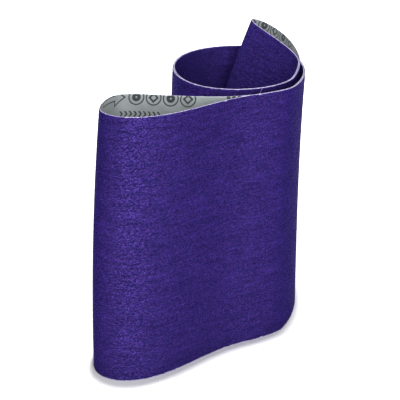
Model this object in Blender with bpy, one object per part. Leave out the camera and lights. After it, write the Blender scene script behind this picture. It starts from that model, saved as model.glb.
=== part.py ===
"""A cloth-backed sanding belt that stands on its long edge.

The endless belt lies doubled: two plies, grey faces together, make one band. The band is rolled up
counter-clockwise, as seen from above. From the open outer fold it runs along the front, turns back at
the right, makes one turn of an oval curl, and ends in the inner fold, which climbs and leans.
Named values are millimetres and degrees; the meshes are in metres, and X is right, Y back and Z up.
"""

import math

import bpy
import numpy as np

MM = 0.001

# Belt
BELT_WIDTH = 150.0
BELT_LENGTH = 1220.0
BACKING_THICKNESS = 0.35
COAT_THICKNESS = 0.20
BOND_GAP = 0.05
PLY_GAP = 0.40

# Splice tape, on the grey face of the outer ply
TAPE_WIDTH = 18.0
TAPE_THICKNESS = 0.10
TAPE_GAP = 0.12
SPLICE_ANGLE = 64.0
SPLICE_TURN = 283.0

# Curl: one turn of an oval spiral round the origin, in degrees counter-clockwise from the right
CURL_WIDTH = 75.6
CURL_DEPTH = 116.8
TURN_SPACING = 3.0
TURN_DEEPENING = 24.0
CURL_SKEW = 0.06
CURL_FLATTENING = 0.044
CURL_START = -40.0
CURL_END = 352.0

# Outer fold and the front run that joins it to the curl
OUTER_FOLD_LENGTH = 89.0
OUTER_FOLD_OPENING = 55.2
OUTER_FOLD_TAPER = 2.0
OUTER_FOLD_FORWARD = 41.2
OUTER_FOLD_HEADING = -2.0
OUTER_FOLD_REACH = 90.0
CURL_START_REACH = 65.0

# Inner fold and the run that joins the curl to it
INNER_FOLD_LENGTH = 65.5
INNER_FOLD_OPENING = 9.9
INNER_FOLD_TAPER = 1.6
INNER_FOLD_OFFSET = 11.3
INNER_FOLD_INSET = 7.0
INNER_FOLD_HEADING = 135.0
INNER_FOLD_REACH = 57.0
CURL_END_REACH = 58.0
INNER_FOLD_RISE = 21.4
INNER_FOLD_TILT = 18.5
RISE_RUN = 26.0
RISE_POWER = 1.2
TILT_POWER = 2.0
STRAIGHT_FOOT = 0.2

# Lean: how far the top edge stands right of the floor edge, at four places along the band
OUTER_FOLD_LEAN = 6.6
RIGHT_TURN_LEAN = 3.1
CURL_LEFT_LEAN = 2.4
CURL_END_LEAN = 3.0
OUTER_LEAN_POWER = 2.1
RIGHT_LEAN_POWER = 3.0

# Fineness of the meshes
STATION_SPACING = 7.0
STATION_TURN = 14.0
HEIGHT_SPANS = 4
TAPE_SPANS_ALONG = 4
TAPE_SPANS_UP = 24
DENSE_SAMPLES = 4000
ROUND_IN = 10.0


def clear_scene():
    for old in list(bpy.data.objects):
        bpy.data.objects.remove(old, do_unlink=True)


def unit(degrees):
    angle = math.radians(degrees)
    return np.array([math.cos(angle), math.sin(angle)])


def curl_point(turn):
    """A spiral whose half-axes shrink evenly, skewed and flattened a little from a true ellipse."""
    turn = np.asarray(turn, float)
    angle = np.radians(turn)
    left_to_go = 1.0 - turn / 360.0
    half_width = CURL_WIDTH / 2 + TURN_SPACING * left_to_go
    half_depth = CURL_DEPTH / 2 + TURN_DEEPENING * left_to_go
    x = half_width * np.cos(angle) * (1.0 + CURL_SKEW * np.sin(angle))
    y = half_depth * np.sin(angle) * (1.0 + CURL_FLATTENING * np.cos(2.0 * angle))
    return np.stack([x, y], axis=-1)


def curl_heading(turn, step=0.05):
    ahead = curl_point(turn + step) - curl_point(turn - step)
    return ahead / np.linalg.norm(ahead)


def joining_curve(start, leaving, end, arriving, count=160):
    """A cubic Hermite curve; leaving and arriving are its end tangents with their reach."""
    u = np.linspace(0.0, 1.0, count)[:, None]
    return (
        (2 * u**3 - 3 * u**2 + 1) * start
        + (u**3 - 2 * u**2 + u) * leaving
        + (3 * u**2 - 2 * u**3) * end
        + (u**3 - u**2) * arriving
    )


def distances(points):
    return np.concatenate([[0.0], np.cumsum(np.linalg.norm(np.diff(points, axis=0), axis=1))])


class Band:
    """The doubled band's centreline in plan, with the distances of its landmarks from the outer tip."""

    def __init__(self, outer_tip_x):
        turns = np.linspace(CURL_START, CURL_END, 500)
        curl = curl_point(turns)
        front_wall = curl_point(270.0)[1]
        outer_tip = np.array([outer_tip_x, front_wall - OUTER_FOLD_FORWARD])
        inner_tip = np.array([INNER_FOLD_OFFSET, CURL_DEPTH / 2 - INNER_FOLD_INSET])
        front_run = joining_curve(
            outer_tip,
            OUTER_FOLD_REACH * unit(OUTER_FOLD_HEADING),
            curl[0],
            CURL_START_REACH * curl_heading(CURL_START),
        )
        inner_run = joining_curve(
            curl[-1],
            CURL_END_REACH * curl_heading(CURL_END),
            inner_tip,
            INNER_FOLD_REACH * unit(INNER_FOLD_HEADING),
        )
        self.points = np.concatenate([front_run[:-1], curl, inner_run[1:]])
        self.along = distances(self.points)
        self.length = self.along[-1]
        curl_from = len(front_run) - 1
        self.curl_along = self.along[curl_from : curl_from + len(curl)]
        self.turns = turns
        self.headings = np.gradient(self.points, self.along, axis=0)

    def at_turn(self, turn):
        return float(np.interp(turn, self.turns, self.curl_along))

    def plan(self, along):
        """Centreline points and unit normals to their left."""
        x, y = (np.interp(along, self.along, self.points[:, i]) for i in (0, 1))
        ahead_x, ahead_y = (np.interp(along, self.along, self.headings[:, i]) for i in (0, 1))
        size = np.hypot(ahead_x, ahead_y)
        return x, y, -ahead_y / size, ahead_x / size

    def place(self, loop):
        """Distance along the band and the side of it, for a place round the loop from 0 to 2."""
        loop = np.mod(loop, 2.0)
        share = np.where(loop < 1.0, loop, 2.0 - loop)
        side = np.where(loop < 1.0, -1.0, 1.0)
        return self.length * (1.0 - np.cos(np.pi * share)) / 2.0, side

    def loop_at(self, along):
        """The outer ply's place round the loop at a distance along the band."""
        return np.arccos(1.0 - 2.0 * along / self.length) / np.pi


def fold_shape(share, taper):
    """A teardrop's half opening, 1 at its widest: round at share 0 and closed at share 1."""
    share = np.clip(share, 0.0, 1.0)
    widest = 0.5 / (0.5 + taper)
    return np.sqrt(share / widest) * ((1.0 - share) / (1.0 - widest)) ** taper


def half_opening(band, along):
    back = band.length - along
    outer = (OUTER_FOLD_OPENING - PLY_GAP) / 2 * fold_shape(along / OUTER_FOLD_LENGTH, OUTER_FOLD_TAPER)
    inner = (INNER_FOLD_OPENING - PLY_GAP) / 2 * fold_shape(back / INNER_FOLD_LENGTH, INNER_FOLD_TAPER)
    near_tip = np.clip(np.minimum(along, back) / ROUND_IN, 0.0, 1.0)
    return outer + inner + PLY_GAP / 2 * np.sqrt(1.0 - (1.0 - near_tip) ** 4)


def eased(along, places, values):
    """Values at places along the band, joined by smooth steps."""
    result = np.full_like(along, values[0])
    for start, end, low, high in zip(places, places[1:], values, values[1:]):
        share = np.clip((along - start) / (end - start), 0.0, 1.0)
        result = result + (high - low) * share**2 * (3.0 - 2.0 * share)
    return result


def grey_face(band, loop, height):
    """Points of the belt's grey face: loop runs round the belt from 0 to 2, height from 0 to 1."""
    along, side = band.place(loop)
    x, y, normal_x, normal_y = band.plan(along)
    opening = half_opening(band, along)
    x = x + side * opening * normal_x
    y = y + side * opening * normal_y

    right_turn = band.at_turn(0.0)
    curl_left = band.at_turn(180.0)
    curl_end = band.at_turn(CURL_END)
    places = (0.0, right_turn, curl_left, curl_end)
    lean = eased(along, places, (OUTER_FOLD_LEAN, RIGHT_TURN_LEAN, CURL_LEFT_LEAN, CURL_END_LEAN))
    power = eased(along, places[:2], (OUTER_LEAN_POWER, RIGHT_LEAN_POWER))
    x = x - lean * (1.0 - height**power)

    climb_from = curl_end - RISE_RUN
    climb = np.clip((along - climb_from) / (band.length - climb_from), 0.0, 1.0)
    above_foot = np.clip((height - STRAIGHT_FOOT) / (1.0 - STRAIGHT_FOOT), 0.0, 1.0)
    below_top = (1.0 - STRAIGHT_FOOT) * ((1.0 - above_foot) - (1.0 - above_foot) ** 3 / 3.0)
    slope = math.tan(math.radians(INNER_FOLD_TILT)) * climb**TILT_POWER
    x = x - BELT_WIDTH * slope * below_top
    z = BELT_WIDTH * height + INNER_FOLD_RISE * climb**RISE_POWER
    return np.stack(np.broadcast_arrays(x, y, z), axis=-1)


def offset_face(band, loop, height, distance, step=1e-4):
    """The grey face moved out along its normal, towards the grain side."""
    point = grey_face(band, loop, height)
    round_belt = grey_face(band, loop + step, height) - grey_face(band, loop - step, height)
    above = grey_face(band, loop, np.minimum(height + step, 1.0))
    up = above - grey_face(band, loop, np.maximum(height - step, 0.0))
    normal = np.cross(round_belt, up)
    normal /= np.linalg.norm(normal, axis=-1, keepdims=True)
    return point + distance * normal


def loop_length(band):
    """Length of the belt round the middle of its backing, at its top edge."""
    loop = np.linspace(0.0, 2.0, DENSE_SAMPLES)
    points = offset_face(band, loop, np.array(1.0), BACKING_THICKNESS / 2)
    return distances(points)[-1]


def band_of_full_length():
    """Sets the outer tip back along the front until the loop has the belt's whole length."""
    outer_tip_x = -CURL_WIDTH
    band = Band(outer_tip_x)
    for _ in range(12):
        outer_tip_x += (loop_length(band) - BELT_LENGTH) / 2
        band = Band(outer_tip_x)
    return band


def belt_stations(band):
    """Places round the loop, spaced evenly by length plus turning."""
    loop = np.linspace(0.0, 2.0, DENSE_SAMPLES + 1)
    points = offset_face(band, loop, np.array(1.0), BACKING_THICKNESS)[:, :2]
    steps = np.diff(points, axis=0)
    heading = np.unwrap(np.arctan2(steps[:, 1], steps[:, 0]))
    turning = np.abs(np.diff(heading, append=heading[-1]))
    cost = np.linalg.norm(steps, axis=1) / STATION_SPACING + np.degrees(turning) / STATION_TURN
    total = np.concatenate([[0.0], np.cumsum(cost)])
    count = int(round(total[-1]))
    return np.interp(np.arange(count) * total[-1] / count, total, loop)


def surface_material(name, colour, roughness):
    material = bpy.data.materials.new(name)
    material.use_nodes = True
    shader = material.node_tree.nodes["Principled BSDF"]
    shader.inputs["Base Color"].default_value = (*colour, 1.0)
    shader.inputs["Roughness"].default_value = roughness
    return material


def mesh_object(name, points, faces, material):
    mesh = bpy.data.meshes.new(name)
    mesh.from_pydata((points * MM).tolist(), [], faces)
    mesh.materials.append(material)
    mesh.shade_smooth()
    mesh.set_sharp_from_angle(angle=math.radians(30.0))
    mesh.update()
    piece = bpy.data.objects.new(name, mesh)
    bpy.context.scene.collection.objects.link(piece)
    return piece


def wall_faces(stations, rows, closed):
    """Quads of a wall whose inner and outer grids hold the same stations and rows."""
    inner = np.arange(stations * rows).reshape(stations, rows)
    outer = inner + stations * rows
    faces = []
    for here in range(stations if closed else stations - 1):
        ahead = (here + 1) % stations
        for row in range(rows - 1):
            faces.append((outer[ahead, row], outer[ahead, row + 1], outer[here, row + 1], outer[here, row]))
            faces.append((inner[ahead, row], inner[here, row], inner[here, row + 1], inner[ahead, row + 1]))
        faces.append((inner[here, -1], outer[here, -1], outer[ahead, -1], inner[ahead, -1]))
        faces.append((inner[here, 0], inner[ahead, 0], outer[ahead, 0], outer[here, 0]))
    if not closed:
        for row in range(rows - 1):
            faces.append((inner[0, row], outer[0, row], outer[0, row + 1], inner[0, row + 1]))
            faces.append((inner[-1, row], inner[-1, row + 1], outer[-1, row + 1], outer[-1, row]))
    return [tuple(int(corner) for corner in face) for face in faces]


def belt_layer(name, band, inside, outside, centre, material):
    """One layer of the endless belt, between two distances from the grey face."""
    loop = belt_stations(band)[:, None]
    height = np.linspace(0.0, 1.0, HEIGHT_SPANS + 1)[None, :]
    walls = [offset_face(band, loop, height, distance) for distance in (inside, outside)]
    points = np.concatenate([wall.reshape(-1, 3) for wall in walls]) - centre
    return mesh_object(name, points, wall_faces(len(loop), HEIGHT_SPANS + 1, True), material)


def splice_tape(band, centre, material):
    """A strip along the slanted splice, just clear of the outer ply's grey face."""
    height = np.linspace(0.0, 1.0, TAPE_SPANS_UP + 1)[None, :]
    across = np.linspace(-TAPE_WIDTH / 2, TAPE_WIDTH / 2, TAPE_SPANS_ALONG + 1)[:, None]
    slant = BELT_WIDTH / math.tan(math.radians(SPLICE_ANGLE))
    along = band.at_turn(SPLICE_TURN) + slant * (height - 1.0) + across
    loop = band.loop_at(along)
    walls = [
        offset_face(band, loop, height, distance)
        for distance in (-TAPE_GAP - TAPE_THICKNESS, -TAPE_GAP)
    ]
    points = np.concatenate([wall.reshape(-1, 3) for wall in walls]) - centre
    faces = wall_faces(TAPE_SPANS_ALONG + 1, TAPE_SPANS_UP + 1, False)
    return mesh_object("splice_tape", points, faces, material)


def box_centre(band, thickness):
    """The middle of the belt's own box in plan, on the floor."""
    height = np.linspace(0.0, 1.0, HEIGHT_SPANS + 1)[None, :]
    points = offset_face(band, belt_stations(band)[:, None], height, thickness).reshape(-1, 3)
    middle = (points.min(axis=0) + points.max(axis=0)) / 2
    return np.array([middle[0], middle[1], 0.0])


def build():
    clear_scene()
    band = band_of_full_length()
    coat_from = BACKING_THICKNESS + BOND_GAP
    thickness = coat_from + COAT_THICKNESS
    centre = box_centre(band, thickness)
    cloth = surface_material("grey_cloth", (0.36, 0.39, 0.36), 0.85)
    grain = surface_material("purple_grain", (0.055, 0.024, 0.25), 0.65)
    film = surface_material("tape_film", (0.62, 0.60, 0.50), 0.40)
    belt_layer("cloth_backing", band, 0.0, BACKING_THICKNESS, centre, cloth)
    belt_layer("abrasive_coat", band, coat_from, thickness, centre, grain)
    splice_tape(band, centre, film)


build()
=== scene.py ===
# A wide cloth sanding belt, folded double and rolled up loosely, standing on its long edge.
# Shapes are worked out in millimetres and degrees, and put down in metres in the model's own frame.
import math

import bpy
import numpy as np
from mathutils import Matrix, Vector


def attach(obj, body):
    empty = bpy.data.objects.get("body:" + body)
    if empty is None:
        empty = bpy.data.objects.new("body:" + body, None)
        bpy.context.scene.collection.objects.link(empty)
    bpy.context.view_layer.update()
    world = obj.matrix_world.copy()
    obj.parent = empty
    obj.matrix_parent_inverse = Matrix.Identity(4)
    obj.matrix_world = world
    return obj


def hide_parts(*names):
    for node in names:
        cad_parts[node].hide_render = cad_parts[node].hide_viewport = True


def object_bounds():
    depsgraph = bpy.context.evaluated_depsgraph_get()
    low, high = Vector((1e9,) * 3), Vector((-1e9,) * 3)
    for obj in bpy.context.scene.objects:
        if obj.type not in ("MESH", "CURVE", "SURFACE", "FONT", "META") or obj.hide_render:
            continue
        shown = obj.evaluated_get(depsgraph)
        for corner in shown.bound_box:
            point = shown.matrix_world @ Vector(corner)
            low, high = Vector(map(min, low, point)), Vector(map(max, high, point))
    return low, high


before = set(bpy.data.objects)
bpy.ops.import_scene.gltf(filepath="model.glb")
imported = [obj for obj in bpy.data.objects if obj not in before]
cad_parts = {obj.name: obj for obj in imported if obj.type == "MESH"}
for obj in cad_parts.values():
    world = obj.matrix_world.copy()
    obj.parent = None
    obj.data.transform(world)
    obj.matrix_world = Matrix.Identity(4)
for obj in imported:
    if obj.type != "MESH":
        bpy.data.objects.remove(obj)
cadLow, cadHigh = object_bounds()
mm = 0.001  # metres
print("frame loaded:", sorted(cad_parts))

belt = {  # one endless strip, doubled with its grey faces together
    "width": 150.0,
    "length": 1220.0,
    "cloth": 0.35,
    "grain": 0.25,  # cloth to the outside of the grain
    "plyGap": 0.40,
}

roll = {  # the doubled strip in plan, seen from above, the same curve as the solids follow
    "curlWidth": 75.6, "curlDepth": 116.8,  # where the curl has gone once round
    "turnSpacing": 3.0, "turnDeepening": 24.0,  # mm that a turn earlier adds to each half-axis
    "curlSkew": 0.06, "curlFlattening": 0.044, "curlStart": -40.0, "curlEnd": 352.0,
    "outerForward": 41.2, "outerHeading": -2.0, "outerReach": 90.0, "curlStartReach": 65.0,
    "innerOffset": 11.3, "innerInset": 7.0, "innerHeading": 135.0, "innerReach": 57.0,
    "curlEndReach": 58.0,
    "outerFold": (89.0, 55.2, 2.0),  # length, opening and taper of the teardrop
    "innerFold": (65.5, 9.9, 1.6),
    "roundIn": 10.0,  # over which the gap between the plies opens at each tip
    "runPoints": 160, "curlPoints": 500, "loopPoints": 12001,
    "fitPoints": 4000, "fitRounds": 12,  # for the search of the outer tip
    "measuring": (1.0, 10.0),  # mm and degrees between stations that distances are read from
    "solids": (7.0, 14.0), "solidRows": 5,  # mm and degrees between the solids' own stations, and rows
}

lean = {  # how the walls leave the upright
    "places": (6.6, 3.1, 2.4, 3.0),  # mm top right of foot: outer fold, right turn, curl's left, its end
    "powers": (2.1, 3.0),  # of the height, at the outer fold and from the right turn on
    "innerRise": 21.4, "innerTilt": 18.5,  # mm up and degrees over at the inner fold's top
    "riseRun": 26.0, "risePower": 1.2, "tiltPower": 2.0,  # mm before the curl's end where both start
    "straightFoot": 0.2,  # share of the height that doesn't tilt
}


# shape of the belt

def unit(degrees):
    angle = math.radians(degrees)
    return np.array([math.cos(angle), math.sin(angle)])


# an ellipse whose half-axes shrink evenly with the turn, slightly skewed and flattened;
# the turn is in degrees from the right side, counter-clockwise
def curlPoint(turn):
    angle = np.radians(turn)
    toGo = 1.0 - np.asarray(turn) / 360.0
    x = (roll["curlWidth"] / 2 + roll["turnSpacing"] * toGo) * np.cos(angle)
    y = (roll["curlDepth"] / 2 + roll["turnDeepening"] * toGo) * np.sin(angle)
    x = x * (1.0 + roll["curlSkew"] * np.sin(angle))
    y = y * (1.0 + roll["curlFlattening"] * np.cos(2.0 * angle))
    return np.stack([x, y], axis=-1)


# unit direction of the curl at a turn, from a short step to either side
def curlHeading(turn):
    ahead = curlPoint(turn + 0.05) - curlPoint(turn - 0.05)
    return ahead / np.linalg.norm(ahead)


# cubic Hermite curve: start and end points with their tangents
def joiningCurve(start, leaving, end, arriving):
    u = np.linspace(0.0, 1.0, roll["runPoints"])[:, None]
    return ((2 * u**3 - 3 * u**2 + 1) * start + (u**3 - 2 * u**2 + u) * leaving
            + (3 * u**2 - 2 * u**3) * end + (u**3 - u**2) * arriving)


# distance of each point from the first, along straight steps
def runLength(points):
    return np.concatenate([[0.0], np.cumsum(np.linalg.norm(np.diff(points, axis=0), axis=1))])


# front run, curl and inner run end to end, with the distance of each point from the outer tip
def layBand(tipX):
    turns = np.linspace(roll["curlStart"], roll["curlEnd"], roll["curlPoints"])
    curl = curlPoint(turns)
    outerTip = np.array([tipX, curlPoint(270.0)[1] - roll["outerForward"]])
    innerTip = np.array([roll["innerOffset"], roll["curlDepth"] / 2 - roll["innerInset"]])
    frontRun = joiningCurve(outerTip, roll["outerReach"] * unit(roll["outerHeading"]),
                            curl[0], roll["curlStartReach"] * curlHeading(roll["curlStart"]))
    innerRun = joiningCurve(curl[-1], roll["curlEndReach"] * curlHeading(roll["curlEnd"]),
                            innerTip, roll["innerReach"] * unit(roll["innerHeading"]))
    points = np.concatenate([frontRun[:-1], curl, innerRun[1:]])
    along = runLength(points)
    curlFrom = len(frontRun) - 1
    return {
        "points": points, "along": along, "length": along[-1], "turns": turns,
        "curlAlong": along[curlFrom:curlFrom + len(curl)],
        "headings": np.gradient(points, along, axis=0),
    }


def alongAtTurn(band, turn):
    return float(np.interp(turn, band["turns"], band["curlAlong"]))


# teardrop: the square root of the share at the round end, a power of what is left at the closed end
def foldShape(share, taper):
    share = np.clip(share, 0.0, 1.0)
    widest = 0.5 / (0.5 + taper)
    return np.sqrt(share / widest) * ((1.0 - share) / (1.0 - widest)) ** taper


# half the gap between the grey faces, rounded in at both tips, plus half a teardrop at each end
def halfOpening(band, along):
    back = band["length"] - along
    gap = belt["plyGap"]
    fromTip = np.clip(np.minimum(along, back) / roll["roundIn"], 0.0, 1.0)
    opening = gap / 2 * np.sqrt(1.0 - (1.0 - fromTip) ** 4)
    for distance, (length, widest, taper) in ((along, roll["outerFold"]), (back, roll["innerFold"])):
        opening = opening + (widest - gap) / 2 * foldShape(distance / length, taper)
    return opening


# values at places along the band, joined by smooth steps of three shares squared less two cubed
def eased(along, places, values):
    result = np.full_like(along, values[0])
    for start, end, low, high in zip(places, places[1:], values, values[1:]):
        share = np.clip((along - start) / (end - start), 0.0, 1.0)
        result = result + (high - low) * share**2 * (3.0 - 2.0 * share)
    return result


# the grey face: centreline plus or minus the half opening, leaned by a power of the height; the
# loop runs from the outer tip along the outer ply (0 to 1) and back along the inner ply (1 to 2)
def greyFace(band, loop, height):
    loop = np.mod(loop, 2.0)
    side = np.where(loop < 1.0, -1.0, 1.0)
    share = np.where(loop < 1.0, loop, 2.0 - loop)
    along = band["length"] * (1.0 - np.cos(np.pi * share)) / 2.0
    x, y = (np.interp(along, band["along"], band["points"][:, i]) for i in (0, 1))
    aheadX, aheadY = (np.interp(along, band["along"], band["headings"][:, i]) for i in (0, 1))
    opening = side * halfOpening(band, along) / np.hypot(aheadX, aheadY)
    x = x - opening * aheadY
    y = y + opening * aheadX

    curlEnd = alongAtTurn(band, roll["curlEnd"])
    places = (0.0, alongAtTurn(band, 0.0), alongAtTurn(band, 180.0), curlEnd)
    x = x - eased(along, places, lean["places"]) * (1.0 - height ** eased(along, places[:2], lean["powers"]))

    climbFrom = curlEnd - lean["riseRun"]
    climb = np.clip((along - climbFrom) / (band["length"] - climbFrom), 0.0, 1.0)
    aboveFoot = np.clip((height - lean["straightFoot"]) / (1.0 - lean["straightFoot"]), 0.0, 1.0)
    belowTop = (1.0 - lean["straightFoot"]) * ((1.0 - aboveFoot) - (1.0 - aboveFoot) ** 3 / 3.0)
    slope = math.tan(math.radians(lean["innerTilt"])) * climb ** lean["tiltPower"]
    x = x - belt["width"] * slope * belowTop
    z = belt["width"] * height + lean["innerRise"] * climb ** lean["risePower"]
    return np.stack(np.broadcast_arrays(x, y, z), axis=-1)


# unit normal of the grey face towards the grain, from central differences
def greyNormal(band, loop, height, step=1e-4):
    ahead = greyFace(band, loop + step, height) - greyFace(band, loop - step, height)
    up = greyFace(band, loop, np.minimum(height + step, 1.0))
    up = up - greyFace(band, loop, np.maximum(height - step, 0.0))
    normal = np.cross(ahead, up)
    return normal / np.linalg.norm(normal, axis=-1, keepdims=True)


# sets the outer tip back until the loop, round the middle of the cloth, has the whole length
def fullBand():
    loop = np.linspace(0.0, 2.0, roll["fitPoints"])
    top = np.array(1.0)
    tipX = -roll["curlWidth"]
    for _ in range(roll["fitRounds"]):
        band = layBand(tipX)
        middle = greyFace(band, loop, top) + belt["cloth"] / 2 * greyNormal(band, loop, top)
        tipX += (runLength(middle)[-1] - belt["length"]) / 2
    return layBand(tipX)


# places round the loop, spaced by length plus turning, with their distance in mm round the belt
def loopStations(band, spacing, turning):
    loop = np.linspace(0.0, 2.0, roll["loopPoints"])
    top = np.array(1.0)
    points = (greyFace(band, loop, top) + belt["cloth"] / 2 * greyNormal(band, loop, top))[:, :2]
    steps = np.diff(points, axis=0)
    heading = np.unwrap(np.arctan2(steps[:, 1], steps[:, 0]))
    turned = np.degrees(np.abs(np.diff(heading, append=heading[-1])))
    shares = np.linalg.norm(steps, axis=1) / spacing + turned / turning
    total = np.concatenate([[0.0], np.cumsum(shares)])
    places = np.interp(np.linspace(0.0, total[-1], int(round(total[-1])) + 1), total, loop)
    return places, np.interp(places, loop, runLength(points))


band = fullBand()
print("band laid, mm:", round(band["length"], 1))


# distance in mm round the belt of a turn of the curl: on its outer ply, or on its inner ply
def alongOfTurn(turn, inner):
    loop = np.arccos(1.0 - 2.0 * alongAtTurn(band, turn) / band["length"]) / np.pi
    return float(np.interp(2.0 - loop if inner else loop, *loopStations(band, *roll["measuring"])))


# random fields over the belt, for lumps, ragged edges and chips

fieldStep = 0.5  # mm
fieldSpread = 0.45  # how far from its wavelength a field still has waves, as a share


# white noise kept only near one wavelength each way, so that it joins up round the loop; unit spread
def roughField(seed, waveAlong, waveUp):
    shape = (int(belt["length"] / fieldStep), int(belt["width"] / fieldStep))
    noise = np.fft.rfft2(np.random.default_rng(seed).normal(size=shape))
    cyclesAlong = np.fft.fftfreq(shape[0], fieldStep)[:, None] * waveAlong
    cyclesUp = np.fft.rfftfreq(shape[1], fieldStep)[None, :] * waveUp
    size = np.hypot(cyclesAlong, cyclesUp)
    field = np.fft.irfft2(noise * np.exp(-((size - 1.0) / fieldSpread) ** 2), shape)
    return field / field.std()


# a field's value at mm along and a share of the height, evenly between the four nearest values
def fieldAt(field, along, height):
    i, j = np.broadcast_arrays(along / fieldStep, height * belt["width"] / fieldStep)
    i0, j0 = np.floor(i).astype(int), np.floor(j).astype(int)
    fi, fj = i - i0, j - j0
    ahead, above = (i0 + 1) % field.shape[0], (j0 + 1) % field.shape[1]
    i0, j0 = i0 % field.shape[0], j0 % field.shape[1]
    low = field[i0, j0] * (1 - fi) + field[ahead, j0] * fi
    high = field[i0, above] * (1 - fi) + field[ahead, above] * fi
    return low * (1 - fj) + high * fj


# meshes

# quads between neighbouring rows and columns of a grid of point numbers
def gridQuads(rows):
    here, ahead = rows[:-1], rows[1:]
    quads = np.stack([here[:, :-1], ahead[:, :-1], ahead[:, 1:], here[:, 1:]], axis=-1)
    return quads.reshape(-1, 4)


# a mesh from points in mm, faces of three or four corners, and a belt coordinate for each point
def beltMesh(name, points, faces, beltUv, material, normals=None):
    mesh = bpy.data.meshes.new(name)
    corners = np.concatenate([f.ravel() for f in faces]).astype(np.int32)
    totals = np.concatenate([np.full(len(f), f.shape[1]) for f in faces]).astype(np.int32)
    starts = np.concatenate([[0], np.cumsum(totals)[:-1]]).astype(np.int32)
    mesh.vertices.add(len(points))
    mesh.vertices.foreach_set("co", ((points + shift) * mm).astype(np.float32).ravel())
    mesh.loops.add(len(corners))
    mesh.loops.foreach_set("vertex_index", corners)
    mesh.polygons.add(len(totals))
    mesh.polygons.foreach_set("loop_start", starts)
    mesh.polygons.foreach_set("loop_total", totals)
    uv = beltUv[corners]
    highest = np.repeat(np.maximum.reduceat(uv[:, 0], starts), totals)
    onceRound = belt["length"] * mm
    uv[:, 0] += onceRound * (highest - uv[:, 0] > onceRound / 2)  # the last column closes the loop
    mesh.uv_layers.new(name="belt").data.foreach_set("uv", uv.astype(np.float32).ravel())
    mesh.update(calc_edges=True)
    mesh.materials.append(material)
    mesh.polygons.foreach_set("use_smooth", np.ones(len(totals), bool))
    if normals is not None:
        mesh.normals_split_custom_set_from_vertices(normals.astype(np.float32).tolist())
    piece = bpy.data.objects.new(name, mesh)
    bpy.context.scene.collection.objects.link(piece)
    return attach(piece, "root")


# the solids stand with the middle of their own box on the origin, and so does what is made here
def shiftToFrame():
    loop, _ = loopStations(band, *roll["solids"])
    height = np.linspace(0.0, 1.0, roll["solidRows"])[None, :]
    outside = belt["cloth"] + belt["grain"]
    points = greyFace(band, loop[:, None], height) + outside * greyNormal(band, loop[:, None], height)
    points = points.reshape(-1, 3)
    middle = (points.min(axis=0) + points.max(axis=0)) / 2
    centre = (np.array(cadLow) + np.array(cadHigh)) / 2 / mm
    return np.array([centre[0] - middle[0], centre[1] - middle[1], cadLow[2] / mm])


shift = shiftToFrame()


# colours and nodes

# hex code to linear light: over 12.92 up to 0.04045, else plus 0.055 over 1.055 to the power 2.4
def linearColour(code):
    parts = [int(code[i:i + 2], 16) / 255 for i in (1, 3, 5)]
    return (*[p / 12.92 if p <= 0.04045 else ((p + 0.055) / 1.055) ** 2.4 for p in parts], 1.0)


# adds one node: its settings, then each input as a value or as an output to link
def addNode(tree, kind, settings=None, inputs=None):
    node = tree.nodes.new(kind)
    for name, value in (settings or {}).items():
        setattr(node, name, value)
    for name, value in (inputs or {}).items():
        if isinstance(value, bpy.types.NodeSocket):
            tree.links.new(value, node.inputs[name])
        else:
            node.inputs[name].default_value = value
    return node


def newMaterial(name):
    material = bpy.data.materials.new(name)
    material.use_nodes = True
    tree = material.node_tree
    tree.nodes.clear()
    return material, tree


# runs lines of (name, operation, terms), each term a number or an earlier name, as Math nodes
def sumUp(tree, known, lines):
    for name, operation, *terms in lines:
        inputs = {i: known[t] if isinstance(t, str) else t for i, t in enumerate(terms)}
        known[name] = addNode(tree, "ShaderNodeMath", {"operation": operation}, inputs).outputs[0]
    return known


# belt coordinates in mm: along the loop and up from the floor edge
def beltCoordinates(tree):
    uv = addNode(tree, "ShaderNodeUVMap", {"uv_map": "belt"})
    split = addNode(tree, "ShaderNodeSeparateXYZ", None, {0: uv.outputs[0]})
    known = {"u": split.outputs[0], "v": split.outputs[1]}
    return sumUp(tree, known, [("along", "DIVIDE", "u", mm), ("up", "DIVIDE", "v", mm)])


# noise stretched so that one blot is about the given mm along and up
def beltNoise(tree, known, waveAlong, waveUp, detail, offset):
    sumUp(tree, known, [
        ("stretchedAlong", "DIVIDE", "along", waveAlong), ("moved", "ADD", "stretchedAlong", offset),
        ("stretchedUp", "DIVIDE", "up", waveUp),
    ])
    place = addNode(tree, "ShaderNodeCombineXYZ", None, {0: known["moved"], 1: known["stretchedUp"]})
    noise = addNode(tree, "ShaderNodeTexNoise", {"noise_dimensions": "2D"},
                    {"Vector": place.outputs[0], "Scale": 1.0, "Detail": detail, "Roughness": 0.55})
    return noise.outputs["Fac"]


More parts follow.
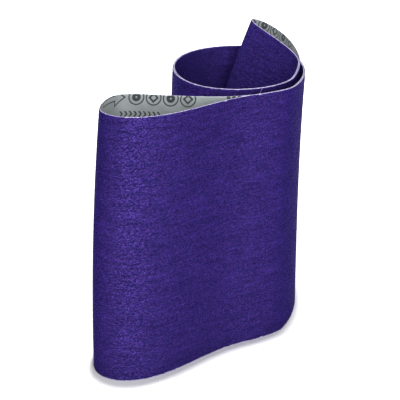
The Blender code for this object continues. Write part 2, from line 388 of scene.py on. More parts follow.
grain = {
    "deep": "#221D55", "middle": "#2F2769", "bright": "#3E3284", "violet": "#864AA8", "grazing": "#5A3588",
    "stops": (0.38, 0.57, 0.76),  # tones at which the deep, middle and bright colours stand
    "noises": {  # mm along, mm up, detail and offset; coarser than real grain, so that they show
        "streak": (2.6, 1.0, 3.0, 0.0), "blot": (1.3, 0.8, 2.0, 40.0), "crease": (15.0, 1.7, 2.0, 23.0),
        "cloud": (34.0, 9.0, 2.0, 9.0), "fine": (0.8, 0.5, 3.0, 70.0),
    },
    "tones": {"streak": 0.35, "crease": 0.38, "blot": 0.27, "cloud": 0.14},  # each noise's part in the tone
    "fineHigh": 0.18, "blotHigh": 0.13, "streakHigh": 0.15, "creaseHigh": 0.24,  # mm of relief in the bump
    "facetAlong": 0.62, "facetUp": 0.35,  # mm a facet, coarser than real so that it shows
    "facetShare": 0.37,  # share of the facets that are shiny
    "tiltAlong": 0.62, "tiltUp": 0.80,  # slope between facets tilted fully one way and the other
    "roughness": 0.60, "facetRoughness": 0.41, "shine": 0.04, "facetShine": 0.92, "violetPart": 0.11,
    "curlPaintedLightAndRelief": {  # where the belt is flexed inwards, from the inner fold to a turn of the curl: painted light in the curl's hollow, and more relief
        "tone": 0.17, "relief": 0.7,  # added tone, which is painted light, and added share of the relief
        "fade": 75.0, "turn": 40.0,  # mm over which it sets in, degrees
    },
    "spacing": 0.86, "turning": 5.0,  # mm between stations, degrees of turn between them
    "rowSpacing": 0.86, "edgeRows": (0.0, 0.12, 0.3, 0.6, 1.1),  # mm between rows, mm of rows from each edge
    "innerRows": 24, "innerGap": 0.02,  # rows on the side that faces the cloth, and mm it stands off
    "pieces": 4,
    "meanPart": 0.85,  # mean thickness as a part of the thickness up to the highest grain
    "lumps": ((11, 5.0, 1.9, 0.030), (12, 2.3, 1.5, 0.026)),  # seed, mm along, mm up, mm high
    "leastThick": 0.06, "edgePart": 0.15, "edgeReach": 0.6,  # mm; part left at the edge, mm it thins over
    "ragged": (21, 1.6, 1.6), "chips": (22, 5.0, 3.0),  # seed, mm along, mm up
    "bareTop": 0.09, "bareTopSpread": 0.06, "leastBareTop": 0.04,  # mm of cloth that shows above the grain
    "bareFoot": 0.42, "bareFootSpread": 0.13, "leastBareFoot": 0.02,  # mm that shows below it
    "chipDeep": 0.35, "chipFromFoot": 1.5, "chipFromTop": 1.2,  # mm; spreads of the field that start a chip
}


# purple resin over sharp grain: dull between the grains, with small violet facets that glint where
# they face a light; tone and relief are sums of noises, each times its part, and the tone is lifted by
# painted light inside the curl
def grainMaterial():
    material, tree = newMaterial("purple_resin_grain")
    known = beltCoordinates(tree)
    curlPaintedLightAndRelief = grain["curlPaintedLightAndRelief"]
    tones = grain["tones"]
    for name, noise in grain["noises"].items():
        known[name] = beltNoise(tree, known, *noise)
    sumUp(tree, known, [
        ("tone0", "MULTIPLY", "streak", tones["streak"]),
        ("tone1", "MULTIPLY_ADD", "crease", tones["crease"], "tone0"),
        ("tone2", "MULTIPLY_ADD", "blot", tones["blot"], "tone1"),
        ("tone3", "MULTIPLY_ADD", "cloud", tones["cloud"], "tone2"),
        # where the belt is flexed inwards, inside the curl: lighter by painted light, and with more relief
        ("fromFold", "SUBTRACT", "along", belt["length"] / 2),
        ("toCurl", "SUBTRACT", alongOfTurn(curlPaintedLightAndRelief["turn"], True), "along"),
        ("within", "MINIMUM", "fromFold", "toCurl"), ("part", "DIVIDE", "within", curlPaintedLightAndRelief["fade"]),
        ("part1", "MINIMUM", "part", 1.0), ("curlPaintedLightAndRelief", "MAXIMUM", "part1", 0.0),
        ("tone", "MULTIPLY_ADD", "curlPaintedLightAndRelief", curlPaintedLightAndRelief["tone"], "tone3"),
        ("relief", "MULTIPLY_ADD", "curlPaintedLightAndRelief", curlPaintedLightAndRelief["relief"], 1.0),
    ])
    ramp = addNode(tree, "ShaderNodeValToRGB", None, {"Fac": known["tone"]})
    ramp.color_ramp.elements[0].position = grain["stops"][0]
    ramp.color_ramp.elements[0].color = linearColour(grain["deep"])
    ramp.color_ramp.elements[1].position = grain["stops"][2]
    ramp.color_ramp.elements[1].color = linearColour(grain["bright"])
    middle = ramp.color_ramp.elements.new(grain["stops"][1])
    middle.color = linearColour(grain["middle"])

    # one cell is one facet: its tilt is a random slope each way times the distance from its middle,
    # and some are smoother and more violet
    sumUp(tree, known, [
        ("facetX", "DIVIDE", "along", grain["facetAlong"]), ("facetY", "DIVIDE", "up", grain["facetUp"]),
    ])
    place = addNode(tree, "ShaderNodeCombineXYZ", None, {0: known["facetX"], 1: known["facetY"]})
    cells = addNode(tree, "ShaderNodeTexVoronoi", {"voronoi_dimensions": "2D"},
                    {"Vector": place.outputs[0], "Scale": 1.0})
    picks = addNode(tree, "ShaderNodeSeparateColor", None, {0: cells.outputs["Color"]})
    centre = addNode(tree, "ShaderNodeSeparateXYZ", None, {0: cells.outputs["Position"]})
    known.update(pickX=picks.outputs[0], pickY=picks.outputs[1], pickShine=picks.outputs[2],
                 centreX=centre.outputs[0], centreY=centre.outputs[1])
    sumUp(tree, known, [
        ("turnX", "SUBTRACT", "pickX", 0.5), ("fromX", "SUBTRACT", "facetX", "centreX"),
        ("riseX0", "MULTIPLY", "turnX", "fromX"),
        ("riseX", "MULTIPLY", "riseX0", grain["facetAlong"] * grain["tiltAlong"]),
        ("turnY", "SUBTRACT", "pickY", 0.5), ("fromY", "SUBTRACT", "facetY", "centreY"),
        ("riseY0", "MULTIPLY", "turnY", "fromY"),
        ("riseY", "MULTIPLY", "riseY0", grain["facetUp"] * grain["tiltUp"]),
        ("facet", "GREATER_THAN", "pickShine", 1.0 - grain["facetShare"]),
        ("high0", "ADD", "riseX", "riseY"), ("high1", "MULTIPLY_ADD", "fine", grain["fineHigh"], "high0"),
        ("high2", "MULTIPLY_ADD", "streak", grain["streakHigh"], "high1"),
        ("high3", "MULTIPLY_ADD", "blot", grain["blotHigh"], "high2"),
        ("high4", "MULTIPLY_ADD", "crease", grain["creaseHigh"], "high3"),
        ("high", "MULTIPLY", "high4", "relief"),
        ("violetPart", "MULTIPLY", "facet", grain["violetPart"]),
        ("rough", "MULTIPLY_ADD", "facet", grain["facetRoughness"] - grain["roughness"], grain["roughness"]),
        ("shine", "MULTIPLY_ADD", "facet", grain["facetShine"] - grain["shine"], grain["shine"]),
    ])
    colour = addNode(tree, "ShaderNodeMix", {"data_type": "RGBA"}, {
        "Factor": known["violetPart"], 6: ramp.outputs["Color"], 7: linearColour(grain["violet"])})

    # the joint of the belt's two ends: a straight slanted line, paler where the coat was ground
    slant = belt["width"] / math.tan(math.radians(splice["angle"]))
    jointTop = alongOfTurn(splice["turn"], False) + splice["shift"]
    sumUp(tree, known, [
        ("slantUp", "DIVIDE", "up", belt["width"]), ("slantLess", "SUBTRACT", "slantUp", 1.0),
        ("slantAlong", "MULTIPLY_ADD", "slantLess", slant, jointTop),
        ("off", "SUBTRACT", "along", "slantAlong"), ("offSize", "ABSOLUTE", "off"),
        ("onSplice", "LESS_THAN", "offSize", splice["lineHalf"]),
    ])
    joined = addNode(tree, "ShaderNodeMix", {"data_type": "RGBA"}, {
        "Factor": known["onSplice"], 6: colour.outputs[2], 7: linearColour(splice["line"])})
    bump = addNode(tree, "ShaderNodeBump", None, {"Strength": 1.0, "Distance": mm, "Height": known["high"]})
    shader = addNode(tree, "ShaderNodeBsdfPrincipled", None, {
        "Base Color": joined.outputs[2], "Roughness": known["rough"], "Metallic": known["shine"],
        "Normal": bump.outputs[0], "Specular IOR Level": 0.005,
        "Specular Tint": linearColour(grain["grazing"])})
    addNode(tree, "ShaderNodeOutputMaterial", None, {"Surface": shader.outputs[0]})
    return material


# heights of rows from edge to edge in mm, closer together at both edges
def edgeRows(spacing, closeIn):
    count = int(round((belt["width"] - 2 * closeIn[-1]) / spacing))
    inside = np.linspace(closeIn[-1], belt["width"] - closeIn[-1], count + 1)
    return np.concatenate([closeIn[:-1], inside, belt["width"] - np.array(closeIn[:-1])[::-1]])


# how far the grain stops short of the floor and top edges: a mean, a ragged line and now and then a
# chip; each edge reads the random fields along a line of its own
def bareEdges(along):
    ragged = roughField(*grain["ragged"])
    chips = roughField(*grain["chips"])
    low = grain["bareFoot"] + grain["bareFootSpread"] * fieldAt(ragged, along, 0.2)
    low = low + grain["chipDeep"] * np.clip(fieldAt(chips, along, 0.1) - grain["chipFromFoot"], 0.0, 1.0)
    high = grain["bareTop"] + grain["bareTopSpread"] * fieldAt(ragged, along, 0.8)
    high = high + grain["chipDeep"] * np.clip(fieldAt(chips, along, 0.9) - grain["chipFromTop"], 0.0, 1.0)
    return np.clip(low, grain["leastBareFoot"], None), np.clip(high, grain["leastBareTop"], None)


# outside of the grain: the cloth's outside plus a thickness of lumps, thinned to nothing at both edges
def makeGrain():
    loop, along = loopStations(band, grain["spacing"], grain["turning"])
    rows = edgeRows(grain["rowSpacing"], grain["edgeRows"])
    low, high = bareEdges(along)
    share = rows / belt["width"]
    height = (low[:, None] + (belt["width"] - low - high)[:, None] * share[None, :]) / belt["width"]
    thick = np.full(height.shape, belt["grain"] * grain["meanPart"])
    for seed, waveAlong, waveUp, size in grain["lumps"]:
        thick = thick + size * fieldAt(roughField(seed, waveAlong, waveUp), along[:, None], height)
    fromEdge = np.minimum(rows, belt["width"] - rows)[None, :]
    thinned = np.clip(grain["edgePart"] + fromEdge / grain["edgeReach"], 0.0, 1.0)
    thick = np.clip(thick, grain["leastThick"], None) * thinned
    normal = greyNormal(band, loop[:, None], height)
    outside = greyFace(band, loop[:, None], height) + (belt["cloth"] + thick)[..., None] * normal

    innerPick = np.unique(np.linspace(0, len(rows) - 1, grain["innerRows"] + 1).round().astype(int))
    inside = greyFace(band, loop[:, None], height[:, innerPick])
    inside = inside + (belt["cloth"] + grain["innerGap"]) * normal[:, innerPick]
    roundLoop = np.gradient(np.concatenate([outside[-2:-1], outside, outside[1:2]]), axis=0)[1:-1]
    facing = np.cross(roundLoop, np.gradient(outside, axis=1))
    facing /= np.linalg.norm(facing, axis=-1, keepdims=True)

    material = grainMaterial()
    cuts = np.linspace(0, len(loop) - 1, grain["pieces"] + 1).round().astype(int)
    pieces = []
    for k, (start, end) in enumerate(zip(cuts, cuts[1:])):
        part = slice(start, end + 1)
        count, across, fewer = end + 1 - start, len(rows), len(innerPick)
        outer = np.arange(count * across).reshape(count, across)
        inner = count * across + np.arange(count * fewer).reshape(count, fewer)
        points = np.concatenate([outside[part].reshape(-1, 3), inside[part].reshape(-1, 3)])
        alongs = np.broadcast_to(along[part, None], height[part].shape)
        ups = height[part] * belt["width"]
        uv = np.concatenate([
            np.stack([alongs, ups], axis=-1).reshape(-1, 2),
            np.stack([alongs[:, innerPick], ups[:, innerPick]], axis=-1).reshape(-1, 2)]) * mm
        faces = [gridQuads(outer), gridQuads(inner)[:, ::-1],
                 gridQuads(np.stack([outer[:, -1], inner[:, -1]], axis=1)),
                 gridQuads(np.stack([inner[:, 0], outer[:, 0]], axis=1))]
        steps = np.arange(across - 1)
        nearest = np.searchsorted(innerPick, steps, side="right") - 1
        for ring, flip in ((0, 1), (-1, -1)):
            fan = np.stack([outer[ring, steps], outer[ring, steps + 1], inner[ring, nearest]], axis=-1)
            rest = np.stack([inner[ring, :-1], outer[ring, innerPick[1:]], inner[ring, 1:]], axis=-1)
            faces += [fan[:, ::flip], rest[:, ::flip]]
        quads = np.concatenate([f for f in faces if f.shape[1] == 4])
        thirds = np.concatenate([f for f in faces if f.shape[1] == 3])
        normals = np.zeros((len(points), 3))
        normals[:count * across] = facing[part].reshape(-1, 3)
        piece = beltMesh(f"grain_coat_{k + 1}", points, [quads, thirds], uv, material, normals)
        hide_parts("abrasive_coat")
        pieces.append(piece)
        print(piece.name, "triangles:", 2 * len(quads) + len(thirds))
    return pieces


cloth = {
    "dark": "#A3AAAB", "light": "#B5BCBD", "raw": "#C0B8E0", "stain": "#8F7EC8", "ink": "#191C1D",
    # painted shade: a darker grey mixed in near the inner fold
    "paintedFoldShade": "#70777A", "paintedFoldShadePart": 0.55,
    "paintedFoldShadeReach": 95.0, "paintedFoldShadeFade": 30.0,  # mm either side of the inner fold, for the painted shade there
    "greyStops": (0.30, 0.72), "rawStops": (0.30, 0.50),  # noise at which the two colours stand
    "noises": {  # mm along, mm up, detail and offset
        "mottle": (9.0, 6.0, 4.0, 0.0), "wear": (0.9, 0.9, 2.0, 30.0), "rawNoise": (1.1, 1.1, 2.0, 55.0),
    },
    "threadAlong": 0.62, "threadUp": 0.50,  # mm between threads, as fine as the weave is
    "weaveTone": 0.10,  # the weave's part in the tone
    "spacing": 1.45, "turning": 7.0,  # mm between stations, degrees of turn between them
    "greyRowSpacing": 3.2, "greyEdgeRows": (0.0, 0.5, 1.5, 3.0),  # mm between rows, mm of rows from each edge
    "outerRowSpacing": 8.0, "outerEdgeRows": (0.0, 0.4, 0.8, 1.3, 2.5, 5.0),
    "frayed": (31, 1.4, 1.4), "fray": 0.06, "rimRise": 0.02,  # seed, mm along, mm up; spread in mm; mm
    "mark": {  # the print: a row that repeats along the belt and down it, in mm from the arrow's tail
        "start": 1206.0, "period": 94.13, "topLine": 153.5, "rowPeriod": 47.0, "rowCentre": 5.3,
        "pen": 0.37,  # half the width of a drawn line
        "ringStart": 25.5, "ringPitch": 9.87, "ringRadius": 4.2, "ringCount": 4,
        "diamond": 2.3, "diamondPen": 0.75, "disc": 1.5, "discPen": 0.95,
        "arrowTip": 23.9, "tipAlong": 0.57, "tipAside": 0.82, "headBack": 17.3,
        "shaftHalf": 1.5, "shaftBack": 0.6, "shaftFront": 18.0,
        "chevronRow": 14.95, "chevronSlant": 0.8, "chevronPitch": 2.7, "chevronPen": 0.55,
        "chevronHalf": 1.65, "chevronMiddle": 33.75, "chevronReach": 12.15,
        "dashMiddle": 85.5, "dashReach": 4.6, "dashPitch": 3.1, "dashPen": 1.0,
        "dashRow": 3.8, "dashHalf": 1.3,
        "softness": -6.0,  # share of ink gained over a mm outwards across a mark's edge
        "wearPart": -0.35, "wearFrom": 1.08,  # share of ink left: the second plus the first times a noise
    },
}


# woven cloth filled with resin: grey-green and matt, with dark generic print, a pale raw edge and painted
# shade near the inner fold; the weave is a sine along times a sine up, and each mark is a signed distance in
# mm, below zero inside
def clothMaterial():
    material, tree = newMaterial("resin_soaked_cloth")
    known = beltCoordinates(tree)
    mark = cloth["mark"]
    ringEnd = mark["ringStart"] + mark["ringCount"] * mark["ringPitch"]
    sumUp(tree, known, [
        ("back", "SUBTRACT", mark["start"], "along"), ("p", "FLOORED_MODULO", "back", mark["period"]),
        ("down", "SUBTRACT", mark["topLine"], "up"), ("q", "FLOORED_MODULO", "down", mark["rowPeriod"]),
        ("y", "SUBTRACT", "q", mark["rowCentre"]), ("yy", "MULTIPLY", "y", "y"), ("ySize", "ABSOLUTE", "y"),
        # four rings, each with a plain disc or diamond inside
        ("pr", "SUBTRACT", "p", mark["ringStart"]), ("cell", "FLOORED_MODULO", "pr", mark["ringPitch"]),
        ("x", "SUBTRACT", "cell", mark["ringPitch"] / 2), ("rr", "MULTIPLY_ADD", "x", "x", "yy"),
        ("r", "SQRT", "rr"), ("ringOff", "SUBTRACT", "r", mark["ringRadius"]),
        ("ringD0", "ABSOLUTE", "ringOff"), ("ringD", "SUBTRACT", "ringD0", mark["pen"]),
        ("xSize", "ABSOLUTE", "x"), ("diamond0", "ADD", "xSize", "ySize"),
        ("diamondOff", "SUBTRACT", "diamond0", mark["diamond"]), ("diamondEdge", "ABSOLUTE", "diamondOff"),
        ("diamondD", "SUBTRACT", "diamondEdge", mark["diamondPen"]),
        ("discOff", "SUBTRACT", "r", mark["disc"]), ("discEdge", "ABSOLUTE", "discOff"),
        ("discD", "SUBTRACT", "discEdge", mark["discPen"]),
        ("pair", "FLOORED_MODULO", "pr", 2 * mark["ringPitch"]),
        ("odd", "GREATER_THAN", "pair", mark["ringPitch"]),
        ("oddNo", "SUBTRACT", 1.0, "odd"),
        ("inside1", "MULTIPLY", "diamondD", "odd"), ("inside", "MULTIPLY_ADD", "discD", "oddNo", "inside1"),
        ("ringMark", "MINIMUM", "ringD", "inside"),
        ("past", "SUBTRACT", "p", ringEnd), ("before", "SUBTRACT", mark["ringStart"], "p"),
        ("outRow", "MAXIMUM", "past", "before"), ("rings", "MAXIMUM", "ringMark", "outRow"),
        # outline of an arrow along the belt
        ("tip", "SUBTRACT", "p", mark["arrowTip"]), ("tipSlope", "MULTIPLY", "tip", mark["tipAlong"]),
        ("ySlope", "MULTIPLY", "ySize", mark["tipAside"]), ("wedge", "ADD", "tipSlope", "ySlope"),
        ("headBack", "SUBTRACT", mark["headBack"], "p"), ("head", "MAXIMUM", "wedge", "headBack"),
        ("shaftSide", "SUBTRACT", "ySize", mark["shaftHalf"]),
        ("shaftBack", "SUBTRACT", mark["shaftBack"], "p"),
        ("shaftFront", "SUBTRACT", "p", mark["shaftFront"]), ("shaft1", "MAXIMUM", "shaftSide", "shaftBack"),
        ("shaft", "MAXIMUM", "shaft1", "shaftFront"), ("arrow", "MINIMUM", "head", "shaft"),
        ("arrowEdge", "ABSOLUTE", "arrow"), ("arrowLine", "SUBTRACT", "arrowEdge", mark["pen"]),
        # a row of short chevrons below, and three dashes after the rings
        ("z", "SUBTRACT", "q", mark["chevronRow"]), ("zSize", "ABSOLUTE", "z"),
        ("chevron0", "MULTIPLY_ADD", "zSize", mark["chevronSlant"], "p"),
        ("chevron1", "FLOORED_MODULO", "chevron0", mark["chevronPitch"]),
        ("chevron2", "SUBTRACT", "chevron1", mark["chevronPitch"] / 2), ("chevron3", "ABSOLUTE", "chevron2"),
        ("chevron4", "SUBTRACT", "chevron3", mark["chevronPen"]),
        ("tall", "SUBTRACT", "zSize", mark["chevronHalf"]),
        ("chevronMid", "SUBTRACT", "chevron0", mark["chevronMiddle"]),
        ("chevronFar", "ABSOLUTE", "chevronMid"),
        ("chevronEnd", "SUBTRACT", "chevronFar", mark["chevronReach"]),
        ("chevron5", "MAXIMUM", "chevron4", "tall"), ("chevrons", "MAXIMUM", "chevron5", "chevronEnd"),
        ("dashMid", "SUBTRACT", "p", mark["dashMiddle"]), ("dashFar", "ABSOLUTE", "dashMid"),
        ("dashEnd", "SUBTRACT", "dashFar", mark["dashReach"]),
        ("dashNext", "ADD", "dashMid", mark["dashPitch"] / 2),
        ("dash0", "FLOORED_MODULO", "dashNext", mark["dashPitch"]),
        ("dash1", "SUBTRACT", "dash0", mark["dashPitch"] / 2), ("dash2", "ABSOLUTE", "dash1"),
        ("dash3", "SUBTRACT", "dash2", mark["dashPen"]),
        ("dashUp", "SUBTRACT", "q", mark["dashRow"]), ("dashUpSize", "ABSOLUTE", "dashUp"),
        ("dashTall", "SUBTRACT", "dashUpSize", mark["dashHalf"]),
        ("dash4", "MAXIMUM", "dash3", "dashTall"), ("dashes", "MAXIMUM", "dash4", "dashEnd"),
        ("mark1", "MINIMUM", "rings", "arrowLine"), ("mark2", "MINIMUM", "chevrons", "dashes"),
        ("mark", "MINIMUM", "mark1", "mark2"), ("inkSoft", "MULTIPLY_ADD", "mark", mark["softness"], 0.5),
        ("inkFull", "MINIMUM", "inkSoft", 1.0), ("inkPart", "MAXIMUM", "inkFull", 0.0),
    ])
    for name, noise in cloth["noises"].items():
        known[name] = beltNoise(tree, known, *noise)
    sumUp(tree, known, [
        ("inkLeft", "MULTIPLY_ADD", "wear", mark["wearPart"], mark["wearFrom"]),
        ("inkWorn", "MULTIPLY", "inkPart", "inkLeft"),
        ("threadA", "MULTIPLY", "along", 2 * math.pi / cloth["threadAlong"]), ("waveA", "SINE", "threadA"),
        ("threadU", "MULTIPLY", "up", 2 * math.pi / cloth["threadUp"]), ("waveU", "SINE", "threadU"),
        ("weave", "MULTIPLY", "waveA", "waveU"),
        ("weavePart", "MULTIPLY_ADD", "weave", cloth["weaveTone"], "mottle"),
        # painted shade: darker near the inner fold, standing in for the shade inside the fold
        ("fromFold", "SUBTRACT", "along", belt["length"] / 2), ("foldFar", "ABSOLUTE", "fromFold"),
        ("foldIn", "SUBTRACT", cloth["paintedFoldShadeReach"], "foldFar"),
        ("foldPart", "DIVIDE", "foldIn", cloth["paintedFoldShadeFade"]),
        ("foldPart1", "MINIMUM", "foldPart", 1.0), ("foldPart2", "MAXIMUM", "foldPart1", 0.0),
        ("paintedFoldShadePart", "MULTIPLY", "foldPart2", cloth["paintedFoldShadePart"]),
    ])
    grey = addNode(tree, "ShaderNodeValToRGB", None, {"Fac": known["weavePart"]})
    grey.color_ramp.elements[0].position = cloth["greyStops"][0]
    grey.color_ramp.elements[1].position = cloth["greyStops"][1]
    grey.color_ramp.elements[0].color = linearColour(cloth["dark"])
    grey.color_ramp.elements[1].color = linearColour(cloth["light"])
    # mixes in the painted shade near the inner fold
    paintedFoldShade = addNode(tree, "ShaderNodeMix", {"data_type": "RGBA"}, {
        "Factor": known["paintedFoldShadePart"], 6: grey.outputs["Color"], 7: linearColour(cloth["paintedFoldShade"])})
    printed = addNode(tree, "ShaderNodeMix", {"data_type": "RGBA"}, {
        "Factor": known["inkWorn"], 6: paintedFoldShade.outputs[2], 7: linearColour(cloth["ink"])})
    edge = addNode(tree, "ShaderNodeAttribute", {"attribute_name": "rawEdge"})
    rawTone = addNode(tree, "ShaderNodeValToRGB", None, {"Fac": known["rawNoise"]})
    rawTone.color_ramp.elements[0].position = cloth["rawStops"][0]
    rawTone.color_ramp.elements[1].position = cloth["rawStops"][1]
    rawTone.color_ramp.elements[0].color = linearColour(cloth["stain"])
    rawTone.color_ramp.elements[1].color = linearColour(cloth["raw"])
    colour = addNode(tree, "ShaderNodeMix", {"data_type": "RGBA"}, {
        "Factor": edge.outputs["Fac"], 6: printed.outputs[2], 7: rawTone.outputs["Color"]})
    bump = addNode(tree, "ShaderNodeBump", None, {
        "Strength": 0.35, "Distance": 0.12 * mm, "Height": known["weave"]})
    shader = addNode(tree, "ShaderNodeBsdfPrincipled", None, {
        "Base Color": colour.outputs[2], "Roughness": 0.78, "Normal": bump.outputs[0], "Sheen Weight": 0.15,
        "Sheen Roughness": 0.5})
    addNode(tree, "ShaderNodeOutputMaterial", None, {"Surface": shader.outputs[0]})
    return material


# grey face and outside of the cloth, one thickness apart, closed by a rim with a raised middle row
def makeCloth():
    loop, along = loopStations(band, cloth["spacing"], cloth["turning"])
    loop = loop[:-1]
    along = along[:-1]
    frayed = roughField(*cloth["frayed"])
    greyRows = edgeRows(cloth["greyRowSpacing"], cloth["greyEdgeRows"]) / belt["width"]
    outerRows = edgeRows(cloth["outerRowSpacing"], cloth["outerEdgeRows"]) / belt["width"]
    fray = cloth["fray"] * fieldAt(frayed, along, 0.5)
    layers = (  # rows as shares of the width, mm out from the grey face, and 1 where it looks raw
        (greyRows, 0.0, 0.0),
        (np.array([1.0]), belt["cloth"] / 2, 1.0),
        (outerRows[::-1], belt["cloth"], 1.0),
        (np.array([0.0]), belt["cloth"] / 2, 1.0),
    )
    sections = []
    for rows, distance, raw in layers:
        height = np.broadcast_to(rows[None, :], (len(loop), len(rows)))
        points = greyFace(band, loop[:, None], height) + distance * greyNormal(band, loop[:, None], height)
        if len(rows) == 1 and rows[0] > 0.5:  # the top rim
            points[:, :, 2] += cloth["rimRise"] + np.abs(fray)[:, None]
        sections.append((points, height, np.full(height.shape, raw)))
    points, height, raw = (np.concatenate([s[i] for s in sections], axis=1) for i in range(3))
    count, across = height.shape
    index = np.arange(count * across).reshape(count, across)
    closed = np.concatenate([index, index[:1]])
    closed = np.concatenate([closed, closed[:, :1]], axis=1)
    uv = np.stack([np.broadcast_to(along[:, None], height.shape), height * belt["width"]], axis=-1) * mm
    faces = [gridQuads(closed)[:, ::-1]]
    piece = beltMesh("cloth_strip", points.reshape(-1, 3), faces, uv.reshape(-1, 2), clothMaterial())
    rawEdge = piece.data.attributes.new("rawEdge", "FLOAT", "POINT")
    rawEdge.data.foreach_set("value", raw.astype(np.float32).ravel())
    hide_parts("cloth_backing")
    print("cloth_strip triangles:", 2 * count * across)
    return piece


splice = {  # where the belt's two ends are butted together, on the outer ply, under the tape
    "turn": 283.0, "shift": 4.6,  # degrees of the curl, and mm from there along the belt
    "angle": 64.0,  # degrees between the joint and the belt's edge
    "lineHalf": 0.28, "line": "#9C8CC8",
    "film": "#CFC9B4", "filmDark": "#B9B29B", "mottlePerMetre": 900.0,  # 1.1 mm across
}


# thin polyester film: slightly yellow and glossy, with a fine mottle
def tapeMaterial():
    material, tree = newMaterial("splice_film")
    place = addNode(tree, "ShaderNodeTexCoord")
    mottle = addNode(tree, "ShaderNodeTexNoise", None, {
        "Vector": place.outputs["Object"], "Scale": splice["mottlePerMetre"], "Detail": 2.0})
    tone = addNode(tree, "ShaderNodeValToRGB", None, {"Fac": mottle.outputs["Fac"]})
    tone.color_ramp.elements[0].color = linearColour(splice["filmDark"])
    tone.color_ramp.elements[1].color = linearColour(splice["film"])
    bump = addNode(tree, "ShaderNodeBump", None, {
        "Strength": 0.2, "Distance": 0.05 * mm, "Height": mottle.outputs["Fac"]})
    shader = addNode(tree, "ShaderNodeBsdfPrincipled", None, {
        "Base Color": tone.outputs["Color"], "Roughness": 0.32, "Normal": bump.outputs[0]})
    addNode(tree, "ShaderNodeOutputMaterial", None, {"Surface": shader.outputs[0]})
    return material


grainPieces = makeGrain()
clothStrip = makeCloth()
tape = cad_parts["splice_tape"]
tape.data.materials.clear()
tape.data.materials.append(tapeMaterial())
print("belt made")

studio = {
    "skyLow": 0.12, "skyHigh": 0.40,  # light from the horizon and from straight above
    "key": {"place": (0.20, -1.45, 0.47), "size": 0.7, "watts": 17.9},
    "top": {"place": (0.09, 0.09, 3.0), "size": 0.16, "watts": 94.0},
    "aim": (0.0, 0.0, 0.09),
    "floorHalf": 6.0,
    "floorSeen": 1.0, "floorBounce": 0.32,  # white of the floor as it is seen, and as it lights the belt
    "glowNear": 0.09, "glowFar": 0.55,  # metres from the middle where the added white starts and is full
    "cameraPlace": (-0.002, -0.742, 0.307), "cameraPitch": 17.49,
    "focalPixels": 1270.0, "framePixels": 400.0, "sensorWidth": 36.0,
    "clipNear": 0.05, "clipFar": 50.0,
}


# turns a lamp, which shines down its own z axis, to face a point
def aimAt(piece, target):
    direction = np.array(target) - np.array(piece.location)
    level = math.hypot(direction[0], direction[1])
    piece.rotation_euler = (math.atan2(level, -direction[2]), 0.0, math.atan2(-direction[0], direction[1]))


def makeLamp(name, lamp):
    data = bpy.data.lights.new(name, "AREA")
    data.size = lamp["size"]
    data.energy = lamp["watts"]
    piece = bpy.data.objects.new(name, data)
    piece.location = lamp["place"]
    bpy.context.scene.collection.objects.link(piece)
    aimAt(piece, studio["aim"])


# largest of camera, glossy and transmission rays, which are the ones that show the background
def seenRays(tree):
    path = addNode(tree, "ShaderNodeLightPath")
    known = {
        "camera": path.outputs["Is Camera Ray"], "glossy": path.outputs["Is Glossy Ray"],
        "through": path.outputs["Is Transmission Ray"],
    }
    return sumUp(tree, known, [("two", "MAXIMUM", "camera", "glossy"), ("seen", "MAXIMUM", "two", "through")])


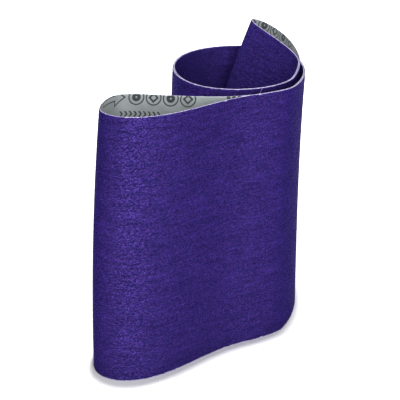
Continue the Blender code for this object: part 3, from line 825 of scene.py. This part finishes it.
# white floor that keeps its shadows near the belt and runs out to plain white: the added white
# grows evenly with the distance from the middle
def makeFloor():
    material, tree = newMaterial("white_studio_floor")
    known = seenRays(tree)
    shade = addNode(tree, "ShaderNodeMix", {"data_type": "RGBA"}, {
        "Factor": known["seen"], 6: (studio["floorBounce"],) * 3 + (1.0,),
        7: (studio["floorSeen"],) * 3 + (1.0,)})
    place = addNode(tree, "ShaderNodeTexCoord")
    far = addNode(tree, "ShaderNodeVectorMath", {"operation": "LENGTH"}, {0: place.outputs["Object"]})
    grow = addNode(tree, "ShaderNodeMapRange", {"interpolation_type": "LINEAR"}, {
        "Value": far.outputs["Value"], "From Min": studio["glowNear"], "From Max": studio["glowFar"]})
    known["grow"] = grow.outputs[0]
    sumUp(tree, known, [("glow", "MULTIPLY", "grow", "seen")])
    diffuse = addNode(tree, "ShaderNodeBsdfDiffuse", None, {"Color": shade.outputs[2]})
    glow = addNode(tree, "ShaderNodeEmission", None, {"Strength": known["glow"]})
    both = addNode(tree, "ShaderNodeAddShader", None, {0: diffuse.outputs[0], 1: glow.outputs[0]})
    addNode(tree, "ShaderNodeOutputMaterial", None, {"Surface": both.outputs[0]})
    half = studio["floorHalf"]
    corners = [(-half, -half, 0), (half, -half, 0), (half, half, 0), (-half, half, 0)]
    mesh = bpy.data.meshes.new("floor")
    mesh.from_pydata(corners, [], [(0, 1, 2, 3)])
    mesh.materials.append(material)
    floor = bpy.data.objects.new("floor", mesh)
    bpy.context.scene.collection.objects.link(floor)


# plain white where it is seen; as a light, it grows evenly from the horizon to straight above
def makeWorld():
    world = bpy.data.worlds.new("studio")
    bpy.context.scene.world = world
    world.use_nodes = True
    tree = world.node_tree
    tree.nodes.clear()
    known = seenRays(tree)
    way = addNode(tree, "ShaderNodeTexCoord")
    height = addNode(tree, "ShaderNodeSeparateXYZ", None, {0: way.outputs["Generated"]})
    known["height"] = height.outputs[2]
    sumUp(tree, known, [
        ("aboveHorizon", "MAXIMUM", "height", 0.0),
        ("lit", "MULTIPLY_ADD", "aboveHorizon", studio["skyHigh"] - studio["skyLow"], studio["skyLow"]),
        ("strength", "MAXIMUM", "lit", "seen"),
    ])
    sky = addNode(tree, "ShaderNodeBackground", None, {
        "Color": (1.0, 1.0, 1.0, 1.0), "Strength": known["strength"]})
    addNode(tree, "ShaderNodeOutputWorld", None, {"Surface": sky.outputs[0]})


def makeCamera():
    data = bpy.data.cameras.new("camera")
    data.sensor_width = studio["sensorWidth"]
    data.lens = studio["focalPixels"] / studio["framePixels"] * studio["sensorWidth"]
    data.clip_start = studio["clipNear"]
    data.clip_end = studio["clipFar"]
    camera = bpy.data.objects.new("camera", data)
    camera.location = studio["cameraPlace"]
    camera.rotation_euler = (math.radians(90.0 - studio["cameraPitch"]), 0.0, 0.0)
    bpy.context.scene.collection.objects.link(camera)
    bpy.context.scene.camera = camera


makeLamp("key_softbox", studio["key"])
makeLamp("top_softbox", studio["top"])
makeFloor()
makeWorld()
makeCamera()
bpy.context.scene.view_settings.view_transform = "Standard"
print("studio made")
